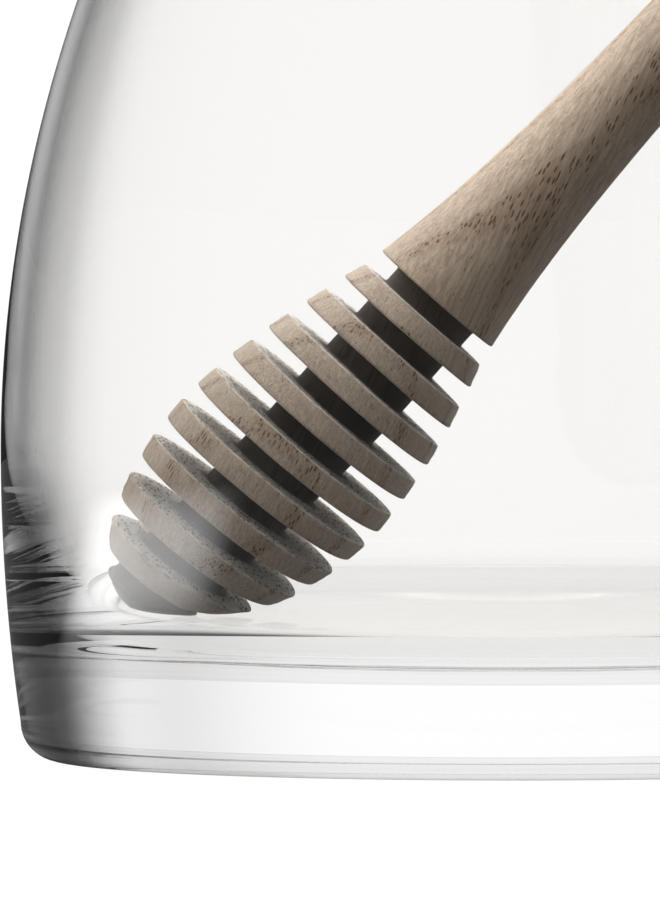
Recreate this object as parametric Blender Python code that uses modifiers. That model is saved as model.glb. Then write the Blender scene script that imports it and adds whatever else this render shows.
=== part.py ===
"""A heavy-based clear glass honey pot with a turned oak dipper leaning in it.

The origin is the centre of the pot's underside, +Z is up, and the unit is the metre.
Run with: blender --background --python part.py
"""

import math

import bpy
from mathutils import Matrix, Vector

MM = 0.001

# Pot, outside. The side is one long bow, fuller below its widest height than above it.
POT_HEIGHT = 82.4 * MM
BELLY_RADIUS = 50.4 * MM
BELLY_HEIGHT = 30.9 * MM
SHOULDER_BOW = 3.8
SKIRT_BOW = 2.7
HEEL_RADIUS = 3.8 * MM
LIP_DEPTH = 0.9 * MM
POT_TURN_STEPS = 56

# Pot, inside. A shallow bowl for a floor, a tight corner, then the wall.
# The two bows are in 1/metre: the radius lost is the bow times the height difference squared.
FLOOR_HEIGHT = 9.9 * MM
FLOOR_CURVE = 500 * MM
WALL_FOOT_HEIGHT = 16.15 * MM
WALL_FOOT_DROP = 3.0 * MM
WALL_FOOT_POWER = 2.6
INSIDE_BELLY_RADIUS = 47.2 * MM
INSIDE_BELLY_HEIGHT = 38.5 * MM
INSIDE_SHOULDER_BOW = 4.5

# Dipper, along its own axis. Zero is the handle side of the first disc, +Z runs to the handle.
DISC_COUNT = 10
DISC_PITCH = 4.27 * MM
DISC_THICKNESS = 2.25 * MM
CORE_RADIUS = 4.85 * MM
HEAD_RADIUS = 11.8 * MM
HEAD_WIDEST = -21.0 * MM
HEAD_TIP_REACH = 19.3 * MM
FIRST_DISC_RADIUS = 7.5 * MM
HANDLE_SIDE_POWER = 1.45
DISC_EDGE_ROUND = 0.25 * MM
FLARE_RADIUS = 7.1 * MM
HANDLE_RADIUS = 3.95 * MM
FLARE_LENGTH = 17.2 * MM
HANDLE_LENGTH = 112 * MM
DIPPER_TURN_STEPS = 32

# Where the dipper leans: a point on its axis at the first disc, and the axis's two angles.
DIPPER_POINT = Vector((-8.4, -19.5, 43.5)) * MM
DIPPER_RISE = math.radians(48.0)
DIPPER_LEAN_FORWARD = math.radians(1.5)


def arc(centre, radius, start, end, count):
    """Points along a circle, both ends included, with angles in radians."""
    points = []
    for i in range(count + 1):
        angle = start + (end - start) * i / count
        points.append((centre[0] + radius * math.cos(angle), centre[1] + radius * math.sin(angle)))
    return points


def outside_radius(height):
    """Radius of the pot's outer side at a height, above the heel."""
    rise = height - BELLY_HEIGHT
    bow = SHOULDER_BOW if rise > 0 else SKIRT_BOW
    return BELLY_RADIUS - bow * rise * rise


def inside_profile():
    """Half section of the hollow, from the middle of the floor up to just under the rim.

    The corner is the one circle that touches both the floor's long arc and the foot of the wall.
    """
    foot = Vector((INSIDE_BELLY_RADIUS - WALL_FOOT_DROP, WALL_FOOT_HEIGHT))
    wall_rise = INSIDE_BELLY_HEIGHT - WALL_FOOT_HEIGHT
    foot_lean = math.atan(WALL_FOOT_DROP * WALL_FOOT_POWER / wall_rise)
    inwards = Vector((-math.cos(foot_lean), math.sin(foot_lean)))
    floor_centre = Vector((0, FLOOR_HEIGHT + FLOOR_CURVE))
    reach = foot - floor_centre
    corner_radius = (FLOOR_CURVE**2 - reach.length_squared) / (2 * (FLOOR_CURVE + inwards.dot(reach)))
    corner_centre = foot + inwards * corner_radius
    floor_end = math.atan2(corner_centre.x, floor_centre.y - corner_centre.y)

    floor = arc(floor_centre, FLOOR_CURVE, -math.pi / 2, floor_end - math.pi / 2, 4)
    floor[0] = (0, FLOOR_HEIGHT)
    corner = arc(corner_centre, corner_radius, floor_end - math.pi / 2, -foot_lean, 8)
    lower_wall = []
    for i in range(1, 9):
        below = 1 - i / 8
        drop = WALL_FOOT_DROP * below**WALL_FOOT_POWER
        lower_wall.append((INSIDE_BELLY_RADIUS - drop, INSIDE_BELLY_HEIGHT - wall_rise * below))
    upper_wall = []
    for i in range(1, 9):
        rise = (POT_HEIGHT - LIP_DEPTH - INSIDE_BELLY_HEIGHT) * i / 8
        radius = INSIDE_BELLY_RADIUS - INSIDE_SHOULDER_BOW * rise * rise
        upper_wall.append((radius, INSIDE_BELLY_HEIGHT + rise))
    return floor + corner[1:] + lower_wall + upper_wall


def outside_profile():
    """Half section of the outer side, from just under the rim down to the middle of the base."""
    top = POT_HEIGHT - LIP_DEPTH
    side = []
    for i in range(19):
        height = top + (HEEL_RADIUS - top) * i / 18
        side.append((outside_radius(height), height))
    heel_centre = (outside_radius(HEEL_RADIUS) - HEEL_RADIUS, HEEL_RADIUS)
    heel = arc(heel_centre, HEEL_RADIUS, 0, -math.pi / 2, 6)
    return side + heel[1:-1] + [(heel_centre[0], 0), (0, 0)]


def pot_profile():
    """The whole section of the glass: up the inside, over the rounded lip and down the outside."""
    inner = inside_profile()
    outer = outside_profile()
    half_wall = (outer[0][0] - inner[-1][0]) / 2
    lip = []
    for i in range(1, 7):
        angle = math.pi * i / 7
        across = inner[-1][0] + half_wall * (1 - math.cos(angle))
        lip.append((across, POT_HEIGHT - LIP_DEPTH + LIP_DEPTH * math.sin(angle)))
    return inner + lip + outer


def head_radius(along):
    """Radius of the egg-shaped outline that the discs' rims touch."""
    offset = along - HEAD_WIDEST
    if offset > 0:
        share = (offset / -HEAD_WIDEST) ** HANDLE_SIDE_POWER
        return HEAD_RADIUS - (HEAD_RADIUS - FIRST_DISC_RADIUS) * share
    return HEAD_RADIUS * math.sqrt(max(0.0, 1 - (offset / HEAD_TIP_REACH) ** 2))


def disc_profile(top, bottom):
    """One disc's edge, its two corners just eased."""
    upper = head_radius(top)
    lower = head_radius(bottom)
    middle = (top + bottom) / 2
    return [
        (upper - DISC_EDGE_ROUND, top),
        (upper, top - DISC_EDGE_ROUND),
        (head_radius(middle), middle),
        (lower, bottom + DISC_EDGE_ROUND),
        (lower - DISC_EDGE_ROUND, bottom),
    ]


def tip_profile(top):
    """The last disc: its edge runs on into a shallow dome that closes at the axis."""
    tip = HEAD_WIDEST - HEAD_TIP_REACH
    points = [(head_radius(top) - DISC_EDGE_ROUND, top)]
    start = math.acos((top - DISC_EDGE_ROUND - HEAD_WIDEST) / -HEAD_TIP_REACH)
    for i in range(7):
        angle = start * (1 - i / 7)
        points.append((HEAD_RADIUS * math.sin(angle), HEAD_WIDEST - HEAD_TIP_REACH * math.cos(angle)))
    return points + [(0, tip)]


def handle_profile(bottom):
    """The handle, from its rounded end down to the flare above the first groove."""
    top = bottom + HANDLE_LENGTH
    points = [(0, top)]
    points += arc((0, top - HANDLE_RADIUS), HANDLE_RADIUS, math.pi / 2, 0, 5)[1:]
    flare_top = bottom + DISC_EDGE_ROUND
    straight = top - HANDLE_RADIUS - flare_top
    for i in range(1, 17):
        along = flare_top + straight * (1 - i / 16) ** 1.6
        flare = (FLARE_RADIUS - HANDLE_RADIUS) * math.exp((flare_top - along) / FLARE_LENGTH)
        points.append((HANDLE_RADIUS + flare, along))
    return points + [(FLARE_RADIUS - DISC_EDGE_ROUND, bottom)]


def dipper_profile():
    """The whole half outline of the dipper, from the handle's end to the tip."""
    groove = DISC_PITCH - DISC_THICKNESS
    points = handle_profile(groove)
    points += [(CORE_RADIUS, groove)]
    for i in range(DISC_COUNT - 1):
        top = -i * DISC_PITCH
        points += [(CORE_RADIUS, top)]
        points += disc_profile(top, top - DISC_THICKNESS)
        points += [(CORE_RADIUS, top - DISC_THICKNESS)]
    last = -(DISC_COUNT - 1) * DISC_PITCH
    return points + [(CORE_RADIUS, last)] + tip_profile(last)


def turned(name, profile, steps, collection, material):
    """An object whose section at +X is swept once round Z."""
    mesh = bpy.data.meshes.new(name)
    edges = [(i, i + 1) for i in range(len(profile) - 1)]
    mesh.from_pydata([(x, 0, z) for x, z in profile], edges, [])
    obj = bpy.data.objects.new(name, mesh)
    collection.objects.link(obj)
    screw = obj.modifiers.new("Turn", "SCREW")
    screw.axis = "Z"
    screw.angle = 2 * math.pi
    screw.steps = steps
    screw.render_steps = steps
    screw.use_merge_vertices = True
    screw.merge_threshold = 0.00001
    screw.use_smooth_shade = True
    mesh.materials.append(material)
    return obj


def principled(name, colour, roughness, transmission=0.0, ior=1.45):
    """A Principled material."""
    material = bpy.data.materials.new(name)
    material.use_nodes = True
    shader = material.node_tree.nodes["Principled BSDF"]
    shader.inputs["Base Color"].default_value = (*colour, 1)
    shader.inputs["Roughness"].default_value = roughness
    shader.inputs["Metallic"].default_value = 0.0
    shader.inputs["IOR"].default_value = ior
    shader.inputs["Transmission Weight"].default_value = transmission
    return material


def make_pot(collection):
    """The glass pot, turned about the origin's vertical."""
    glass = principled("clear soda-lime glass", (0.98, 0.985, 0.985), 0.02, transmission=1.0, ior=1.5)
    return turned("pot", pot_profile(), POT_TURN_STEPS, collection, glass)


def make_dipper(collection):
    """The oak dipper, turned upright and then leaned by the empty that carries it."""
    oak = principled("turned oak", (0.36, 0.28, 0.21), 0.6)
    dipper = turned("dipper", dipper_profile(), DIPPER_TURN_STEPS, collection, oak)
    lean = bpy.data.objects.new("dipper_lean", None)
    collection.objects.link(lean)
    across = math.cos(DIPPER_RISE) * math.cos(DIPPER_LEAN_FORWARD)
    towards = -math.sin(DIPPER_LEAN_FORWARD)
    up = math.sin(DIPPER_RISE) * math.cos(DIPPER_LEAN_FORWARD)
    turn = Vector((across, towards, up)).to_track_quat("Z", "Y")
    lean.matrix_world = Matrix.Translation(DIPPER_POINT) @ turn.to_matrix().to_4x4()
    dipper.parent = lean
    return dipper


def main():
    """Clears the scene and builds both pieces."""
    for obj in list(bpy.data.objects):
        bpy.data.objects.remove(obj)
    collection = bpy.data.collections.new("honey_pot")
    bpy.context.scene.collection.children.link(collection)
    make_pot(collection)
    make_dipper(collection)


main()
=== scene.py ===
# %% [markdown]
# # A glass honey pot with an oak dipper
# The object is an empty, heavy-based pot of clear glass, and a honey dipper turned from one piece
# of oak, which stands on the pot's floor and leans on its rim. Both were made round an axis, one
# in a mould and one on a lathe, so both are made here by spinning a half section.
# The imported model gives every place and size, in metres, and stays fixed.

import math

import bmesh
import bpy
from mathutils import Matrix, Vector, noise


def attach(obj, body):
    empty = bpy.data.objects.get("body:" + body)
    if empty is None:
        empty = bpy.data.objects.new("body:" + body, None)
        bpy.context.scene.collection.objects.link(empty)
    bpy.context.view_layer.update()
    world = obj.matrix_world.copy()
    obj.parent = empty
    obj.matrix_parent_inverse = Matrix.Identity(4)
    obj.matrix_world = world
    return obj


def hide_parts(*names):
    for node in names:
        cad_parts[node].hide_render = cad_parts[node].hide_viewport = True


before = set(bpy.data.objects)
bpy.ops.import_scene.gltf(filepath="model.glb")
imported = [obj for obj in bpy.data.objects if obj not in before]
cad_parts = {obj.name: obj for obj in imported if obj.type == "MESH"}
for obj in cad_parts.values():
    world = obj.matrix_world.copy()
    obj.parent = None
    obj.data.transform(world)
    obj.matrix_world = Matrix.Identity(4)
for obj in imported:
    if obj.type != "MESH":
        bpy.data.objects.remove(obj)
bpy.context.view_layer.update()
MM = 0.001

# %% [markdown]
# ## Helpers
# An arc of a section, a section spun once round Z, and a node added to a material are needed again
# and again, and so are a sum, an eased step and a mix of two numbers on a material's nodes. Hex
# colours are written as sRGB and a shader wants linear light, so one function turns them.


# %% Arcs, spins, colours and nodes
def arc(centre, radius, start, end, count):
    """Points along a circle, both ends included, with angles in radians."""
    angles = [start + (end - start) * i / count for i in range(count + 1)]
    return [(centre[0] + radius * math.cos(a), centre[1] + radius * math.sin(a)) for a in angles]


def spun(name, section, steps):
    """A bmesh of the section at +X, swept once round Z, closed and facing out."""
    shape = bmesh.new()
    points = [shape.verts.new((x, 0, z)) for x, z in section]
    edges = [shape.edges.new(pair) for pair in zip(points, points[1:])]
    bmesh.ops.spin(
        shape,
        geom=points + edges,
        cent=(0, 0, 0),
        axis=(0, 0, 1),
        angle=2 * math.pi,
        steps=steps,
        use_merge=True,
    )
    bmesh.ops.remove_doubles(shape, verts=shape.verts, dist=1e-7)
    bmesh.ops.recalc_face_normals(shape, faces=shape.faces)
    print(f"{name}: {len(shape.faces)} faces, {shape.calc_volume() * 1e6:.1f} cubic centimetres")
    return shape


def piece_of(name, shape, material):
    """The finished bmesh as a smooth object at the origin."""
    mesh = bpy.data.meshes.new(name)
    shape.to_mesh(mesh)
    shape.free()
    mesh.polygons.foreach_set("use_smooth", [True] * len(mesh.polygons))
    mesh.materials.append(material)
    obj = bpy.data.objects.new(name, mesh)
    bpy.context.scene.collection.objects.link(obj)
    return obj


def linear(hex_colour):
    """An sRGB hex colour as linear red, green, blue and an alpha of 1."""
    parts = [int(hex_colour[i : i + 2], 16) / 255 for i in (1, 3, 5)]
    return (*[p / 12.92 if p <= 0.04045 else ((p + 0.055) / 1.055) ** 2.4 for p in parts], 1)


def add_node(material, kind, settings=None, inputs=None):
    """A new node with its settings, and each input set to a value or linked from a socket."""
    tree = material.node_tree
    node = tree.nodes.new("ShaderNode" + kind)
    for key, value in (settings or {}).items():
        setattr(node, key, value)
    for key, value in (inputs or {}).items():
        if isinstance(value, bpy.types.NodeSocket):
            tree.links.new(value, node.inputs[key])
        else:
            node.inputs[key].default_value = value
    return node


def new_material(name):
    """A node material with its Principled shader and its output."""
    material = bpy.data.materials.new(name)
    material.use_nodes = True
    return material, material.node_tree.nodes["Principled BSDF"]


def maths(material, operation, first, second=0.0, third=0.0):
    """One sum on a material's nodes."""
    return add_node(material, "Math", {"operation": operation}, {0: first, 1: second, 2: third}).outputs[0]


def vector_maths(material, operation, first, second=(0, 0, 0)):
    """One sum of vectors: its vector and its number."""
    node = add_node(material, "VectorMath", {"operation": operation}, {0: first, 1: second})
    return node.outputs[0], node.outputs[1]


def eased(material, value, low, high, bottom=0.0, top=1.0):
    """The bottom value at low, the top value at high, eased between them and level beyond."""
    return add_node(
        material,
        "MapRange",
        {"interpolation_type": "SMOOTHSTEP"},
        {"Value": value, "From Min": low, "From Max": high, "To Min": bottom, "To Max": top},
    ).outputs[0]


def mixed(material, share, under, over):
    """One number laid over another by a share."""
    return add_node(material, "Mix", {"data_type": "FLOAT"}, {0: share, 2: under, 3: over}).outputs[0]


print("half of full sRGB, as linear light:", round(linear("#808080")[0], 3))

# %% [markdown]
# ## The camera
# The picture is a close view with a long lens, almost level: about 0.1 mm of the pot to each pixel,
# with the pot's axis to the right of the middle. The camera stands 0.8 m off and 37 mm up.

# %% Place the camera
CAMERA_DISTANCE = 0.8
CAMERA_HEIGHT = 36.7 * MM
AIM = Vector((-17.5, 0, 30.9)) * MM
VIEW_HEIGHT = 90 * MM
SENSOR = 36.0

scene = bpy.context.scene
camera = bpy.data.objects.new("camera", bpy.data.cameras.new("camera"))
scene.collection.objects.link(camera)
camera.location = (AIM.x, -CAMERA_DISTANCE, CAMERA_HEIGHT)
camera.rotation_euler = (AIM - camera.location).to_track_quat("-Z", "Y").to_euler()
camera.data.sensor_width = SENSOR
camera.data.lens = SENSOR * CAMERA_DISTANCE / VIEW_HEIGHT
camera.data.clip_start = 0.05
camera.data.clip_end = 50
scene.camera = camera
print("lens:", camera.data.lens, "mm")

# %% [markdown]
# ## The pot
# The real pot was pressed in a mould and fire polished: a barrel outside, and inside a shallow bowl
# of a floor that turns up in a tight corner. Clear glass shows its section in every refraction, so
# the half section is drawn finely and spun, and nothing is left to a modifier.

# %% The pot's half section
POT_HEIGHT = 82.4 * MM
LIP_DEPTH = 0.9 * MM
BELLY_RADIUS = 50.4 * MM
BELLY_HEIGHT = 30.9 * MM
HEEL_RADIUS = 3.8 * MM
FLOOR_HEIGHT = 9.9 * MM
FLOOR_CURVE = 500 * MM
WALL_FOOT = Vector((44.2, 16.15)) * MM
INSIDE_BELLY = Vector((47.2, 38.5)) * MM
SHOULDER_BOW = 3.8
SKIRT_BOW = 2.7
INSIDE_SHOULDER_BOW = 4.5
WALL_FOOT_POWER = 2.6


def outside_radius(height):
    """The outer side: the radius lost is a bow, in 1/metre, times the height from the belly squared."""
    rise = height - BELLY_HEIGHT
    return BELLY_RADIUS - (SHOULDER_BOW if rise > 0 else SKIRT_BOW) * rise * rise


def inside_radius(height):
    """The inner wall above its foot."""
    rise = height - INSIDE_BELLY.y
    if rise > 0:
        return INSIDE_BELLY.x - INSIDE_SHOULDER_BOW * rise * rise
    share = rise / (WALL_FOOT.y - INSIDE_BELLY.y)
    return INSIDE_BELLY.x - (INSIDE_BELLY.x - WALL_FOOT.x) * share**WALL_FOOT_POWER


def hollow_section():
    """Floor, corner and wall; the corner is the one circle that touches the other two."""
    wall_rise = INSIDE_BELLY.y - WALL_FOOT.y
    lean = math.atan((INSIDE_BELLY.x - WALL_FOOT.x) * WALL_FOOT_POWER / wall_rise)
    inwards = Vector((-math.cos(lean), math.sin(lean)))
    centre = Vector((0, FLOOR_HEIGHT + FLOOR_CURVE))
    reach = WALL_FOOT - centre
    radius = (FLOOR_CURVE**2 - reach.length_squared) / (2 * (FLOOR_CURVE + inwards.dot(reach)))
    corner = WALL_FOOT + inwards * radius
    turn = math.atan2(corner.x, centre.y - corner.y)
    floor = arc(centre, FLOOR_CURVE, -math.pi / 2, turn - math.pi / 2, 14)
    floor[0] = (0, FLOOR_HEIGHT)
    bend = arc(corner, radius, turn - math.pi / 2, -lean, 22)
    heights = [WALL_FOOT.y + (POT_HEIGHT - LIP_DEPTH - WALL_FOOT.y) * i / 48 for i in range(1, 49)]
    return floor + bend[1:] + [(inside_radius(h), h) for h in heights]


def pot_section():
    """Up the inside, over the fire-polished lip and down the outside to the middle of the base."""
    inner = hollow_section()
    top = POT_HEIGHT - LIP_DEPTH
    heights = [top + (HEEL_RADIUS - top) * i / 48 for i in range(49)]
    outer = [(outside_radius(h), h) for h in heights]
    half = (outer[0][0] - inner[-1][0]) / 2
    lip = arc((0, 0), 1, math.pi, 0, 12)[1:-1]
    lip = [(inner[-1][0] + half * (1 + x), top + LIP_DEPTH * y) for x, y in lip]
    heel_centre = (outer[-1][0] - HEEL_RADIUS, HEEL_RADIUS)
    heel = arc(heel_centre, HEEL_RADIUS, 0, -math.pi / 2, 14)
    flat = [(heel[-1][0] * (1 - i / 4), 0) for i in range(1, 5)]
    return inner + lip + outer + heel[1:] + flat


section = pot_section()
print("points in the section:", len(section))

# %% [markdown]
# ## Clear glass
# Soda-lime glass bends light with an index of about 1.5 and has no colour in a wall this thin. Its
# skin is mirror smooth, with the faint long ripples that a mould leaves, so the bump is very weak
# and its scale is many millimetres. Inside and outside get a material each, as the outside also
# makes the dark edges of the next step. The inside mirrors less than real glass does, because its
# reflections of the bright room would lay a haze over the wood, and it warms the white a little.

# %% Pressed soda-lime glass
GLASS_INDEX = 1.5
RIPPLES_PER_METRE = 60.0
RIPPLE_DEPTH = 0.2 * MM


def clear_glass(name, colour):
    """Smooth clear glass with the mould's faint ripple."""
    material, shader = new_material(name)
    shader.inputs["Base Color"].default_value = linear(colour)
    shader.inputs["Transmission Weight"].default_value = 1.0
    shader.inputs["Roughness"].default_value = 0.0
    shader.inputs["IOR"].default_value = GLASS_INDEX
    place = add_node(material, "TexCoord").outputs["Object"]
    ripple = add_node(
        material,
        "TexNoise",
        inputs={"Vector": place, "Scale": RIPPLES_PER_METRE, "Detail": 2.0, "Roughness": 0.4},
    ).outputs["Fac"]
    dimple = add_node(
        material, "Bump", inputs={"Height": ripple, "Strength": 0.05, "Distance": RIPPLE_DEPTH}
    )
    material.node_tree.links.new(dimple.outputs["Normal"], shader.inputs["Normal"])
    return material, shader


glass, glass_shader = clear_glass("pressed soda-lime glass, fire polished", "#F9F8F6")
glass_shader.inputs["Specular Tint"].default_value = linear("#707070")
skin, skin_shader = clear_glass("soda-lime glass, outer skin", "#FAFAFA")
print("index of refraction:", GLASS_INDEX)

# %% [markdown]
# ## Dark edges
# What makes clear glass readable on white is its dark outline: near the edge the eye looks along
# the wall and out past the bright background, into the dark of the room. A dark card on each side
# gives that in a studio, but from one side only. Here the outer skin's colour is painted darker as it
# turns away from the eye, a painted shade that stands for the dark room, by the amount that the wall
# and the thick base each show, so the outline is there from every side. The turn is measured level:
# against the direction straight out from the pot's axis, and along the level part of the line of
# sight, so that the round heel and a view from above don't darken.

# %% How far the skin turns away
skin_place = add_node(skin, "TexCoord").outputs["Object"]
level_place, _ = vector_maths(skin, "MULTIPLY", skin_place, (1, 1, 0))
outwards, _ = vector_maths(skin, "NORMALIZE", level_place)
side_facing = add_node(skin, "LayerWeight", inputs={"Blend": 0.5, "Normal": outwards})
straight_up = add_node(skin, "CombineXYZ", inputs={"Z": 1.0}).outputs[0]
top_facing = add_node(skin, "LayerWeight", inputs={"Blend": 0.5, "Normal": straight_up})
steepness = maths(skin, "SUBTRACT", 1.0, top_facing.outputs["Facing"])
level_part = maths(skin, "SUBTRACT", 1.0, maths(skin, "MULTIPLY", steepness, steepness))
level_part = maths(skin, "SQRT", maths(skin, "MAXIMUM", level_part, 0.01))
towards_eye = maths(skin, "SUBTRACT", 1.0, side_facing.outputs["Facing"])
turned_away = maths(skin, "SUBTRACT", 1.0, maths(skin, "DIVIDE", towards_eye, level_part))
print("nodes that measure the turn:", len(skin.node_tree.nodes))

# %% [markdown]
# ## How much light each height loses
# Each ramp holds pairs of a turn and the share of light that the painted edge shade lets pass there.
# The colour of a glass is the loss of two crossings, so the share is squared. The base is thick and
# is painted far darker than the thin wall, and the corner between them has a look of its own.


# %% Edge loss of the outer skin
def edge_loss(stops):
    """A ramp from how far the skin turns away to the share of light that passes."""
    ramp = add_node(skin, "ValToRGB", inputs={"Fac": turned_away})
    ramp.color_ramp.interpolation = "B_SPLINE"
    points = ramp.color_ramp.elements
    while len(points) < len(stops):
        points.new(0.5)
    for point, (place, share) in zip(points, stops):
        point.position = place
        point.color = (share**2, share**2, share**2, 1)
    return ramp.outputs["Color"]


def stacked(step, under, over):
    """One loss below a step's lower height and another above its upper one, eased between them."""
    lower, upper = step
    share = eased(skin, skin_height, upper, lower)
    return add_node(skin, "Mix", {"data_type": "RGBA"}, {0: share, 6: over, 7: under}).outputs[2]


CORNER_STEP = (14 * MM, 22 * MM)
WALL_STEP = (23 * MM, 33 * MM)
skin_height = add_node(skin, "SeparateXYZ", inputs={0: skin_place}).outputs["Z"]
# painted shade at the edges: the wall, the corner and the base each get their own ramp
wall_loss = edge_loss(
    [(0.39, 1.0), (0.47, 0.88), (0.53, 0.66), (0.62, 0.57), (0.69, 0.36), (0.75, 0.4), (0.84, 1.0)]
)
corner_loss = edge_loss(
    [(0.38, 1.0), (0.46, 0.78), (0.54, 0.4), (0.61, 0.06), (0.76, 0.04), (0.83, 0.6), (0.88, 1.0)]
)
base_loss = edge_loss(
    [(0.1, 1.0), (0.25, 0.76), (0.36, 0.97), (0.42, 0.75), (0.5, 0.22)]
    + [(0.58, 0.07), (0.78, 0.05), (0.92, 0.4)]
)
lower_loss = stacked(CORNER_STEP, base_loss, corner_loss)
loss = stacked(WALL_STEP, lower_loss, wall_loss)
skin.node_tree.links.new(loss, skin_shader.inputs["Base Color"])
print("heights where the loss changes, m:", CORNER_STEP, WALL_STEP)

# %% [markdown]
# ## Spinning the pot
# The section is spun in fine steps, because a coarse outline would show as facets in every
# refraction. Every face on the outside gets the outer skin, and the inside and the lip the other.

# %% Spin the pot
POT_STEPS = 256
shape = spun("pot_glass", section, POT_STEPS)
for face in shape.faces:
    middle = face.calc_center_median()
    outside = face.normal.x * middle.x + face.normal.y * middle.y > 0
    face.material_index = 1 if outside and middle.z < POT_HEIGHT - 2 * LIP_DEPTH else 0
pot = piece_of("pot_glass", shape, glass)
pot.data.materials.append(skin)
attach(pot, "root")
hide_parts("pot")

# %% [markdown]
# ## The dipper's shape
# A lathe tool cut ten discs into an egg-shaped head and left a thin core between them. Each disc's
# two corners are only just eased, and the bottom of each groove is slightly round, as the tool's
# tip was. Above the head the stick flares to the size of the first disc.

# %% The dipper's half section
DISC_COUNT = 10
DISC_PITCH = 4.27 * MM
DISC_THICKNESS = 2.25 * MM
CORE_RADIUS = 4.85 * MM
HEAD_RADIUS = 11.8 * MM
HEAD_WIDEST = -21.0 * MM
HEAD_TIP_REACH = 19.3 * MM
FIRST_DISC_RADIUS = 7.5 * MM
FLARE_RADIUS = 7.1 * MM
HANDLE_RADIUS = 3.95 * MM
FLARE_LENGTH = 17.2 * MM
HANDLE_LENGTH = 112 * MM
HANDLE_SIDE_POWER = 1.45
EASE = 0.22 * MM
COVE = 0.35 * MM


def head_radius(along):
    """The egg-shaped outline that the discs' rims touch."""
    offset = along - HEAD_WIDEST
    if offset > 0:
        share = (offset / -HEAD_WIDEST) ** HANDLE_SIDE_POWER
        return HEAD_RADIUS - (HEAD_RADIUS - FIRST_DISC_RADIUS) * share
    return HEAD_RADIUS * math.sqrt(max(0.0, 1 - (offset / HEAD_TIP_REACH) ** 2))


def groove(lower, upper):
    """The bottom of a groove between two faces, from the upper face down to the lower one."""
    out = CORE_RADIUS + COVE
    top = arc((out, upper - COVE), COVE, math.pi / 2, math.pi, 4)
    bottom = arc((out, lower + COVE), COVE, math.pi, 1.5 * math.pi, 4)
    return top + bottom


def disc_edge(top, bottom):
    """One disc from its upper face to its lower one, with eased corners."""
    upper = head_radius(top) - EASE
    lower = head_radius(bottom) - EASE
    start = CORE_RADIUS + COVE
    points = [(start + (upper - start) * i / 5, top) for i in range(1, 5)]
    points += arc((upper, top - EASE), EASE, math.pi / 2, 0, 3)
    for i in range(1, 5):
        along = top - EASE + (bottom - top + 2 * EASE) * i / 5
        points.append((head_radius(along), along))
    points += arc((lower, bottom + EASE), EASE, 0, -math.pi / 2, 3)
    return points + [(start + (lower - start) * i / 5, bottom) for i in range(4, 0, -1)]


def tip_dome(top):
    """The last disc, whose edge runs on into a shallow dome that closes at the axis."""
    start = math.acos((top - EASE - HEAD_WIDEST) / -HEAD_TIP_REACH)
    angles = [start * (1 - i / 24) for i in range(25)]
    first = head_radius(top) - EASE
    inner = CORE_RADIUS + COVE
    points = [(inner + (first - inner) * i / 3, top) for i in range(1, 4)]
    for angle in angles[:-1]:
        along = HEAD_WIDEST - HEAD_TIP_REACH * math.cos(angle)
        points.append((HEAD_RADIUS * math.sin(angle), along))
    return points + [(0, HEAD_WIDEST - HEAD_TIP_REACH)]


def handle_line(bottom):
    """The stick, from its rounded end down to the flare above the first groove."""
    top = bottom + HANDLE_LENGTH
    points = [(0, top)] + arc((0, top - HANDLE_RADIUS), HANDLE_RADIUS, math.pi / 2, 0, 10)[1:]
    straight = top - HANDLE_RADIUS - bottom - EASE
    for i in range(1, 61):
        above = straight * (1 - i / 60) ** 1.6
        flare = (FLARE_RADIUS - HANDLE_RADIUS) * math.exp(-above / FLARE_LENGTH)
        points.append((HANDLE_RADIUS + flare, bottom + EASE + above))
    points += arc((FLARE_RADIUS - EASE, bottom + EASE), EASE, 0, -math.pi / 2, 3)[1:]
    inner = CORE_RADIUS + COVE
    reach = FLARE_RADIUS - EASE - inner
    return points + [(inner + reach * i / 3, bottom) for i in (2, 1)]


def dipper_section():
    """The whole half outline, from the handle's end to the tip."""
    gap = DISC_PITCH - DISC_THICKNESS
    points = handle_line(gap)
    for i in range(DISC_COUNT):
        top = -i * DISC_PITCH
        points += groove(top, top + gap)
        points += disc_edge(top, top - DISC_THICKNESS) if i < DISC_COUNT - 1 else tip_dome(top)
    return points


print("head, widest:", 2 * HEAD_RADIUS / MM, "mm across")

# %% [markdown]
# ## Turning it and leaning it
# The spun shape stands upright at first. Wood fibres tear a little where the tool leaves a corner,
# so points near each disc's rim are moved in or out by a few hundredths of a millimetre, by a noise
# read in real millimetres. Then one matrix leans the dipper to its place in the pot.

# %% Spin, roughen and lean the dipper
DIPPER_POINT = Vector((-8.4, -19.5, 43.5)) * MM
RISE = math.radians(48.0)
LEAN_FORWARD = math.radians(1.5)
DIPPER_STEPS = 256


def torn(point):
    """How far a point moves outwards: more near the discs' rims than elsewhere."""
    where = point / MM
    fine = noise.noise(where * 2.6)
    coarse = noise.noise(where * 0.55 + Vector((7, 3, 5)))
    in_head = -45 < where.z < 3
    radius = math.hypot(where.x, where.y)
    near_rim = in_head and radius > 5.6
    return (0.035 * fine + 0.04 * coarse) * MM if near_rim else 0.012 * coarse * MM


shape = spun("dipper_oak", dipper_section(), DIPPER_STEPS)
for vert in shape.verts:
    out = Vector((vert.co.x, vert.co.y, 0))
    if out.length > 0.2 * MM:
        vert.co += out.normalized() * torn(vert.co)
axis = Vector(
    (
        math.cos(RISE) * math.cos(LEAN_FORWARD),
        -math.sin(LEAN_FORWARD),
        math.sin(RISE) * math.cos(LEAN_FORWARD),
    )
)
lean = Matrix.Translation(DIPPER_POINT) @ axis.to_track_quat("Z", "Y").to_matrix().to_4x4()
bmesh.ops.transform(shape, matrix=lean, verts=shape.verts)
print("the dipper's axis:", [round(v, 3) for v in axis])

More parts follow.
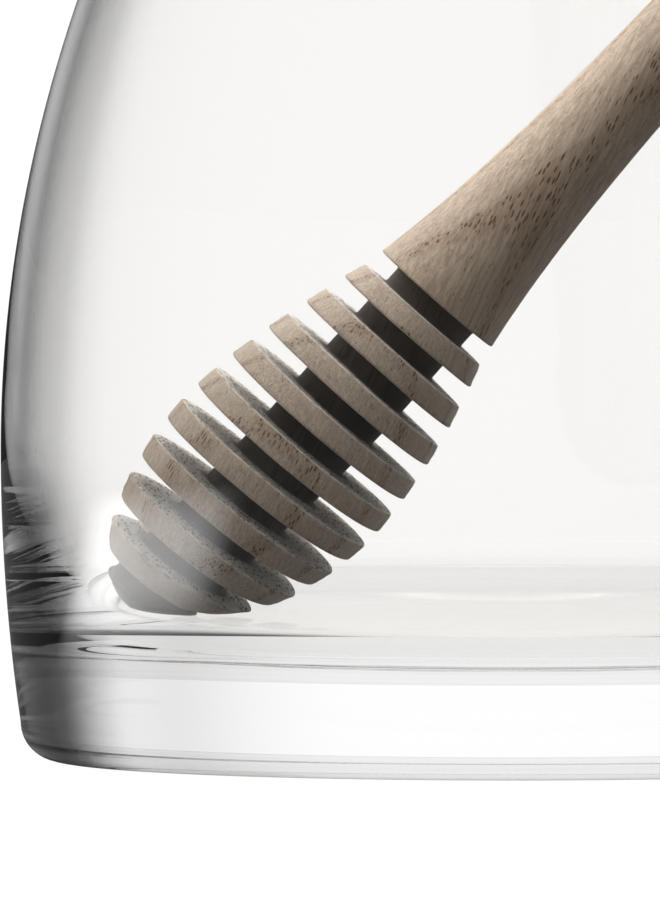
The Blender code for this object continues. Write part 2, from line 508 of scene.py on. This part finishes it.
# %% [markdown]
# ## Bare oak
# Oak is ring porous: each year starts with a band of wide vessels, which show as dark dashes along
# the grain and as dots on a cut end, and goes on with dense, paler wood. The pattern has to run
# through the whole piece, as it does in wood, so that a ring met on a disc's rim goes on over its
# face. One Mapping node turns the place of each point back into the dipper's own frame, in
# millimetres, a second one turns it on into the fibre's frame, and every pattern is solid.

# %% The dipper's frame and the fibre's frame
FIBRE_LEAN = math.radians(-17)
oak, oak_shader = new_material("turned oak, bare and fine sanded")


def stretched(place, scale):
    """A place in millimetres, scaled along each axis."""
    return vector_maths(oak, "MULTIPLY", place, scale)[0]


turned_back = add_node(
    oak,
    "Mapping",
    {"vector_type": "TEXTURE"},
    {
        "Vector": add_node(oak, "TexCoord").outputs["Object"],
        "Location": lean.to_translation(),
        "Rotation": lean.to_euler(),
    },
).outputs[0]
in_mm = stretched(turned_back, (1 / MM, 1 / MM, 1 / MM))
along = add_node(
    oak,
    "Mapping",
    {"vector_type": "TEXTURE"},
    {"Vector": in_mm, "Rotation": (FIBRE_LEAN, 0, 0)},
).outputs[0]
print("fibre leans off the dipper's axis, degrees:", round(math.degrees(FIBRE_LEAN)))

# %% [markdown]
# ## Growth rings and their pores
# The stick was cut a little across the grain: its fibres run steeper than its axis, so the rings
# come out on the flare as a slanting, arched row of open vessels. The pith is taken as a line beside
# the dipper, the distance from it gives the season of each point, and only a point of the early
# season may hold a wide vessel. The distance also changes a little along the grain, as a trunk
# tapers. Above the flare it hardly does, so there the arch runs on along the handle. Real vessels
# are 0.2 to 0.3 mm wide and the dashes here are about that.

# %% Rings and wide vessels
RING = 4.0
PITH = (-35.1, 0.0, 0.0)
FLARE_TOP = 13.0
drift = add_node(
    oak,
    "TexNoise",
    inputs={"Vector": stretched(along, (0.16, 0.16, 0.05)), "Scale": 1.0, "Detail": 2.0},
).outputs["Fac"]
from_pith, _ = vector_maths(oak, "ADD", stretched(along, (1.0, 1.0, 0.0)), PITH)
_, pith_distance = vector_maths(oak, "LENGTH", from_pith)
grain_height = add_node(oak, "SeparateXYZ", inputs={0: along}).outputs["Z"]
past_flare = maths(oak, "MAXIMUM", maths(oak, "SUBTRACT", grain_height, FLARE_TOP), 0.0)
tilt = maths(oak, "MULTIPLY_ADD", past_flare, 0.06, maths(oak, "MULTIPLY", grain_height, -0.075))
wavy = maths(oak, "MULTIPLY_ADD", drift, 1.2, maths(oak, "ADD", pith_distance, tilt))
season = maths(oak, "FRACT", maths(oak, "MULTIPLY", wavy, 1 / RING))
spring = eased(oak, season, 0.27, 0.14)
vessels = add_node(
    oak,
    "TexVoronoi",
    {"feature": "F1"},
    {"Vector": stretched(along, (1.0, 1.0, 0.2)), "Scale": 3.6},
)
vessel_core = eased(oak, vessels.outputs["Distance"], 0.38, 0.26)
chance = add_node(oak, "SeparateColor", inputs={0: vessels.outputs["Color"]}).outputs[0]
open_here = maths(oak, "GREATER_THAN", chance, 0.08)
wide_pores = maths(oak, "MULTIPLY", maths(oak, "MULTIPLY", vessel_core, spring), open_here)
print("ring width, mm:", RING)

# %% [markdown]
# ## Fibres, fine pores and the fuzz of the cut
# Between the rings the surface is never even: fibres a few hundredths of a millimetre wide run along
# the grain, fine pores fleck it, and sanding leaves a short fuzz. The fibres here are drawn 0.1 to
# 0.2 mm wide, coarser than real ones, which would not show at 0.1 mm to the pixel.

# %% Fibres and fine flecks
FIBRES_PER_MM = 3.4
fibre = add_node(
    oak,
    "TexNoise",
    inputs={
        "Vector": stretched(along, (1.0, 1.0, 0.035)),
        "Scale": FIBRES_PER_MM,
        "Detail": 4.0,
        "Roughness": 0.7,
    },
).outputs["Fac"]
fibre = eased(oak, fibre, 0.3, 0.7)
fuzz = add_node(
    oak,
    "TexNoise",
    inputs={
        "Vector": stretched(along, (1.0, 1.0, 0.4)),
        "Scale": 6.5,
        "Detail": 3.0,
        "Roughness": 0.8,
    },
).outputs["Fac"]
fuzz = eased(oak, fuzz, 0.34, 0.66)
flecks = add_node(
    oak,
    "TexVoronoi",
    {"feature": "F1"},
    {"Vector": stretched(along, (1.0, 1.0, 0.3)), "Scale": 3.6},
)
fleck_core = eased(oak, flecks.outputs["Distance"], 0.3, 0.16)
fleck_chance = add_node(oak, "SeparateColor", inputs={0: flecks.outputs["Color"]}).outputs[1]
fine_pores = maths(oak, "MULTIPLY", fleck_core, maths(oak, "GREATER_THAN", fleck_chance, 0.72))
grey_patch = add_node(
    oak,
    "TexNoise",
    inputs={"Vector": stretched(along, (1.0, 1.0, 0.3)), "Scale": 0.35, "Detail": 2.0},
).outputs["Fac"]
print("fibre width, mm:", round(0.5 / FIBRES_PER_MM, 2))

# %% [markdown]
# ## The cut ends
# A disc's face is end grain: the cut goes across the vessels, so they show as dots, drawn out a
# little along the rays that run to the pith. The faces' ground is painted lighter than the side:
# painted light, for the light from behind that reaches into the narrow grooves. The surface's own
# direction, against the dipper's axis, tells the faces from the rims.

# %% End grain
facing_out = add_node(oak, "TexCoord").outputs["Normal"]
_, along_axis = vector_maths(oak, "DOT_PRODUCT", facing_out, tuple(axis))
end_grain = eased(oak, maths(oak, "ABSOLUTE", along_axis), 0.8, 0.95)
end_dots = add_node(
    oak,
    "TexVoronoi",
    {"feature": "F1"},
    {"Vector": stretched(along, (0.22, 1.0, 0.2)), "Scale": 2.6},
).outputs["Distance"]
end_pores = maths(oak, "MULTIPLY", eased(oak, end_dots, 0.42, 0.22), end_grain)
print("axis seen by the faces:", [round(v, 2) for v in axis])

# %% [markdown]
# ## Oak's colour
# The wood is pale and greyed, warmer in the open bands, and the vessels are a dark brown. The rims
# of the head are a little paler and rougher, as the tool tore their short grain. The bottom of each
# groove is painted near black, a painted shade of the deep, narrow groove, and there are no pores
# to see.


# %% Colour
def tinted(share, under, over, blend="MIX"):
    """One colour laid over another by a share."""
    return add_node(
        oak,
        "Mix",
        {"data_type": "RGBA", "blend_type": blend},
        {0: share, 6: under, 7: over},
    ).outputs[2]


HEAD_TOP = 2.0
# Painted shade: the grooves' bottoms are painted dark from this radius in to the core.
GROOVE_SHADE_RADIUS = 6.2
GROOVE_SHADE_CORE = 5.0
height = add_node(oak, "SeparateXYZ", inputs={0: in_mm}).outputs["Z"]
in_head = maths(oak, "LESS_THAN", height, HEAD_TOP)
_, off_axis = vector_maths(oak, "LENGTH", stretched(in_mm, (1.0, 1.0, 0.0)))
fuzz_share = maths(oak, "MULTIPLY", fuzz, maths(oak, "MULTIPLY_ADD", in_head, 0.3, 0.2))
# painted light: how much paler the end-grain faces are laid, more in the head
face_light_share = maths(oak, "MULTIPLY", end_grain, maths(oak, "MULTIPLY_ADD", in_head, 0.6, 0.3))
# painted shade in the head's grooves, darkest at the core and fading out towards the rims
shaded = maths(oak, "MULTIPLY", eased(oak, off_axis, GROOVE_SHADE_RADIUS, GROOVE_SHADE_CORE, top=0.95), in_head)

wood = tinted(fibre, linear("#AB9985"), linear("#D6C5B1"))
wood = tinted(maths(oak, "MULTIPLY", in_head, 0.28), wood, linear("#F2E5D6"))
wood = tinted(fuzz_share, wood, linear("#8F8375"))
wood = tinted(grey_patch, wood, linear("#E2DAD3"), "MULTIPLY")
wood = tinted(maths(oak, "MULTIPLY", spring, 0.3), wood, linear("#CDB49A"), "MULTIPLY")
# painted light on the end-grain faces, for the light that reaches into the grooves
wood = tinted(face_light_share, wood, linear("#EAE4DA"))
wood = tinted(maths(oak, "MULTIPLY", end_pores, 0.85), wood, linear("#5A5148"))
wood = tinted(maths(oak, "MULTIPLY", fine_pores, 0.6), wood, linear("#6A5A4B"))
wood = tinted(maths(oak, "MULTIPLY", wide_pores, 0.9), wood, linear("#5E3F27"))
# the colour of the painted groove shade, near black, laid over the grooves' bottoms
groove_shade_colour = tinted(fibre, linear("#211811"), linear("#433428"))
wood = tinted(shaded, wood, groove_shade_colour)
oak.node_tree.links.new(wood, oak_shader.inputs["Base Color"])
print("grooves rubbed dark to, mm from the axis:", GROOVE_SHADE_RADIUS)

# %% [markdown]
# ## Oak's relief and gloss
# Open pores lie a little below the surface, the fuzz is made of tiny hollows too, and the fibres
# between them stand proud. Bare sanded wood has hardly any gloss, and its raised fibres catch a
# soft sheen at a low angle.

# %% Relief, gloss and sheen
RELIEF_DEPTH = 0.14 * MM
hollows = maths(oak, "MAXIMUM", maths(oak, "MAXIMUM", wide_pores, fine_pores), end_pores)
proud = maths(oak, "MULTIPLY_ADD", fuzz, -0.35, maths(oak, "MULTIPLY", fibre, 0.4))
# no relief where the grooves' bottoms carry the painted shade
not_shaded = maths(oak, "SUBTRACT", 1.0, shaded)
relief = maths(oak, "MULTIPLY", maths(oak, "SUBTRACT", proud, hollows), not_shaded)
grainy = add_node(oak, "Bump", inputs={"Height": relief, "Strength": 0.75, "Distance": RELIEF_DEPTH})
oak.node_tree.links.new(grainy.outputs["Normal"], oak_shader.inputs["Normal"])
oak_shader.inputs["Roughness"].default_value = 0.75
oak_shader.inputs["IOR"].default_value = 1.5
oak_shader.inputs["Specular IOR Level"].default_value = 0.25
oak_shader.inputs["Sheen Weight"].default_value = 0.25
oak_shader.inputs["Sheen Roughness"].default_value = 0.45
print("relief, mm:", RELIEF_DEPTH / MM)

# %% [markdown]
# ## The finished dipper
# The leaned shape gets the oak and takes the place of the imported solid.

# %% Place the dipper
dipper = piece_of("dipper_oak", shape, oak)
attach(dipper, "root")
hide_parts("dipper")
print("dipper:", len(dipper.data.polygons), "faces")

# %% [markdown]
# ## The light table
# The pot stands on a lit white table, so the ground is seen as white, also through the glass. Light
# Path tells three kinds of ray apart. A ray that has left a matt surface is light for the wood, and
# gets little from the table. A ray mirrored by the glass sees only a bright strip on the left, which
# lays the soft haze over the dipper's tip. Every other ray sees the white. The table's own colour is
# dark, so that what falls on it adds nothing to its light.

# %% The table
TABLE_SIZE = 6.0
STRIP_TOWARDS = (-0.994, -0.105, 0.0)
floor_shape = bmesh.new()
bmesh.ops.create_grid(floor_shape, x_segments=1, y_segments=1, size=TABLE_SIZE / 2)
white, white_shader = new_material("white acrylic, lit from below")
white_shader.inputs["Base Color"].default_value = linear("#181818")
white_shader.inputs["Roughness"].default_value = 0.9
white_shader.inputs["Emission Color"].default_value = linear("#FFFFFF")

spot = add_node(white, "TexCoord").outputs["Object"]
_, spot_distance = vector_maths(white, "LENGTH", spot)
spot_way, _ = vector_maths(white, "NORMALIZE", spot)
_, leftness = vector_maths(white, "DOT_PRODUCT", spot_way, STRIP_TOWARDS)
past_pot = eased(white, spot_distance, 0.1, 0.2, top=5.5)
near_pot = eased(white, spot_distance, 0.85, 0.25)
strip_glow = maths(white, "MULTIPLY", past_pot, near_pot)
strip = maths(white, "MULTIPLY_ADD", eased(white, leftness, 0.9, 0.99), strip_glow, 0.04)

path = add_node(white, "LightPath").outputs
left_matt = maths(white, "GREATER_THAN", path["Diffuse Depth"], 0.5)
for_matt = maths(white, "MULTIPLY_ADD", strip, 0.7, 0.03)
straight = eased(white, path["Glossy Depth"], 0.0, 1.0, 0.982, 0.85)
mirrored = mixed(white, path["Is Reflection Ray"], straight, strip)
glow = mixed(white, left_matt, mirrored, for_matt)
white.node_tree.links.new(glow, white_shader.inputs["Emission Strength"])
floor = piece_of("floor", floor_shape, white)
floor.location.z = -0.2 * MM
print("table, m:", floor.dimensions.x)

# %% [markdown]
# ## The room and the soft boxes
# What lies behind the pot is white too. The wood is lit by a large soft box above and to the left, a
# weaker one overhead and one behind, which reaches into the grooves from the far side and shows the
# discs' faces. The glass mirrors only the overhead box, so its reflections stay soft and dim.

# %% The room and its lights
KEY_FROM = Vector((-0.52, 0.13, 0.84)).normalized()
BACK_FROM = Vector((0.25, 0.93, 0.27)).normalized()
world = bpy.data.worlds.new("studio")
scene.world = world
world.use_nodes = True
studio = world.node_tree.nodes["Background"]
looking = add_node(world, "TexCoord").outputs["Generated"]
upwards = add_node(world, "SeparateXYZ", inputs={0: looking}).outputs["Z"]
_, facing_key = vector_maths(world, "DOT_PRODUCT", looking, KEY_FROM)
_, facing_back = vector_maths(world, "DOT_PRODUCT", looking, BACK_FROM)
key = eased(world, facing_key, 0.58, 0.82, 0.025, 3.3)
overhead = eased(world, upwards, 0.6, 0.95, 0.03, 2.0)
back = eased(world, facing_back, 0.62, 0.9, top=3.6)
lamps = maths(world, "ADD", maths(world, "ADD", key, overhead), back)

ray = add_node(world, "LightPath").outputs
from_matt = maths(world, "GREATER_THAN", ray["Diffuse Depth"], 0.5)
backdrop = eased(world, ray["Glossy Depth"], 0.0, 1.0, 1.04, 0.88)
seen = mixed(world, ray["Is Reflection Ray"], backdrop, overhead)
strength = mixed(world, from_matt, seen, lamps)
studio.inputs["Color"].default_value = linear("#FFFFFF")
world.node_tree.links.new(strength, studio.inputs["Strength"])
scene.view_settings.view_transform = "Standard"
scene.cycles.max_bounces = 24
scene.cycles.transmission_bounces = 20
scene.cycles.glossy_bounces = 12
print("key light from:", [round(v, 2) for v in KEY_FROM])
